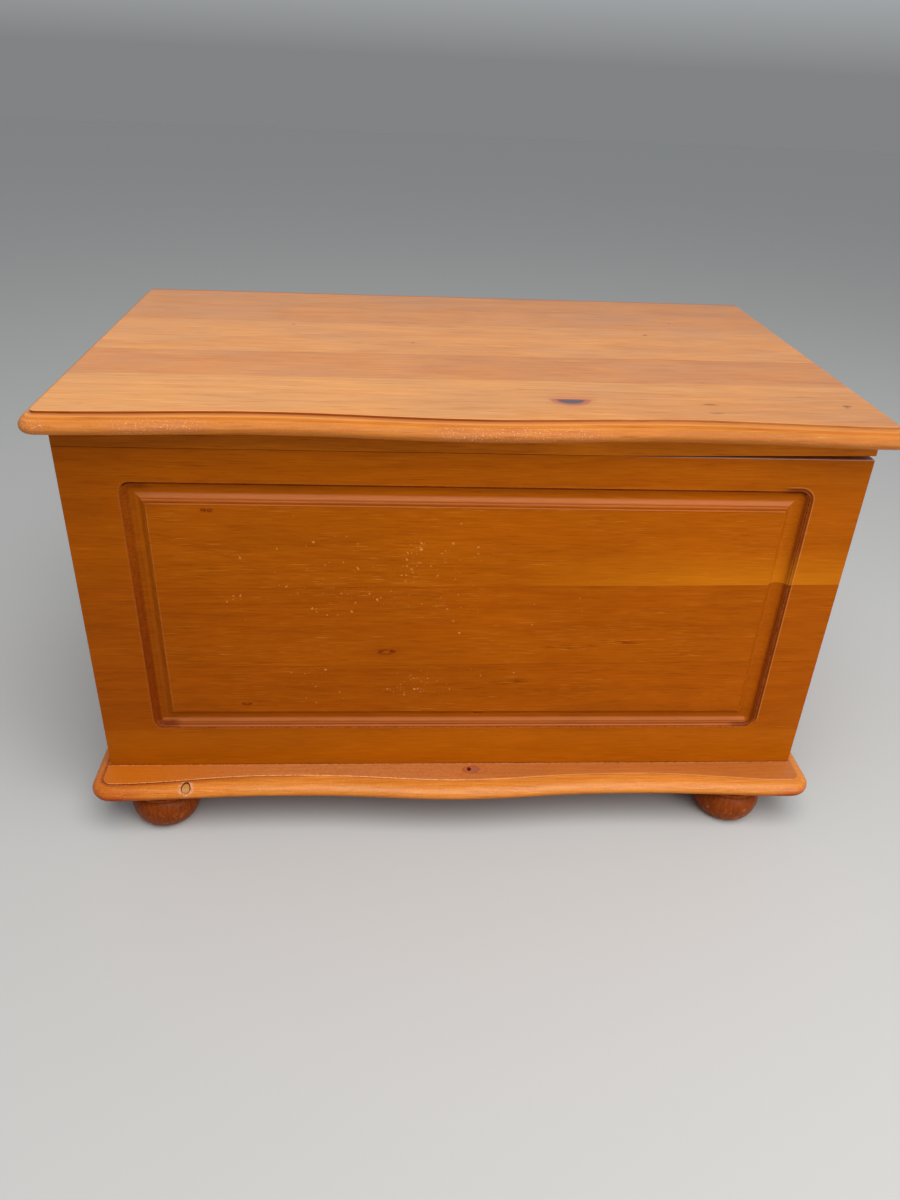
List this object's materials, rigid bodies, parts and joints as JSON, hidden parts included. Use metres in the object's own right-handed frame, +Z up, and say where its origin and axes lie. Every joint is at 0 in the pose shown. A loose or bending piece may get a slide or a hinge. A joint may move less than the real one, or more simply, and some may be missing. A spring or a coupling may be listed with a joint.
{
  "type": "blanket chest",
  "caption": "Pine blanket chest with a hinged lid, serpentine moulded lid and base boards, a routed front panel, bun feet and a slotted lid stay.",
  "frame": {"origin": "on the floor, below the middle of the chest's bounding box", "axes": "+X to the right as one faces the front, +Y from the front towards the back, +Z up"},
  "size_m": [0.8942, 0.5786, 0.5314],
  "materials": {
    "lacquered_pine": "stained orange-brown pine under semi-gloss lacquer",
    "turned_pine": "darker stained turned pine, lacquered",
    "bare_pine": "planed pine, thin lacquer",
    "plug_wood": "pale dowel end grain under lacquer",
    "hinge_brass": "pressed brass, dulled",
    "zinc_steel": "zinc-plated steel"
  },
  "bodies": {
    "carcass": {"base_board": "lacquered_pine", "base_edge_plug": "plug_wood", "foot_front_left": "turned_pine", "foot_bolt_front_left": "zinc_steel", "foot_front_right": "turned_pine", "foot_bolt_front_right": "zinc_steel", "foot_back_left": "turned_pine", "foot_bolt_back_left": "zinc_steel", "foot_back_right": "turned_pine", "foot_bolt_back_right": "zinc_steel", "front_panel": "lacquered_pine", "back_panel": "lacquered_pine", "left_side": "lacquered_pine", "right_side": "lacquered_pine", "corner_block_front_left": "bare_pine", "corner_block_front_right": "bare_pine", "corner_block_back_left": "bare_pine", "corner_block_back_right": "bare_pine", "hinge_left_box_leaf": "hinge_brass", "hinge_left_pin": "zinc_steel", "hinge_right_box_leaf": "hinge_brass", "hinge_right_pin": "zinc_steel", "stay_box_bracket": "hinge_brass"},
    "lid": {"lid_board": "lacquered_pine", "lid_rail_front": "lacquered_pine", "lid_rail_back": "lacquered_pine", "lid_rail_left": "lacquered_pine", "lid_rail_right": "lacquered_pine", "hinge_left_lid_leaf": "hinge_brass", "hinge_right_lid_leaf": "hinge_brass", "stay_lid_bracket": "hinge_brass"},
    "stay_arm": {"stay_arm": "hinge_brass"}
  },
  "joints": [
    {"name": "lid_hinge", "type": "hinge", "parent": "carcass", "child": "lid", "pos_m": [0, 0.2848, 0.48675], "axis": [-1, 0, 0], "range_deg": [0, 95]},
    {"name": "stay_pivot", "type": "hinge", "parent": "lid", "child": "stay_arm", "pos_m": [0.4064, 0.1348, 0.498], "axis": [1, 0, 0], "range_deg": [0, 47.5]}
  ],
  "couplings": [
    {"joint": "stay_pivot", "follows": "lid_hinge", "ratio": 0.5}
  ]
}
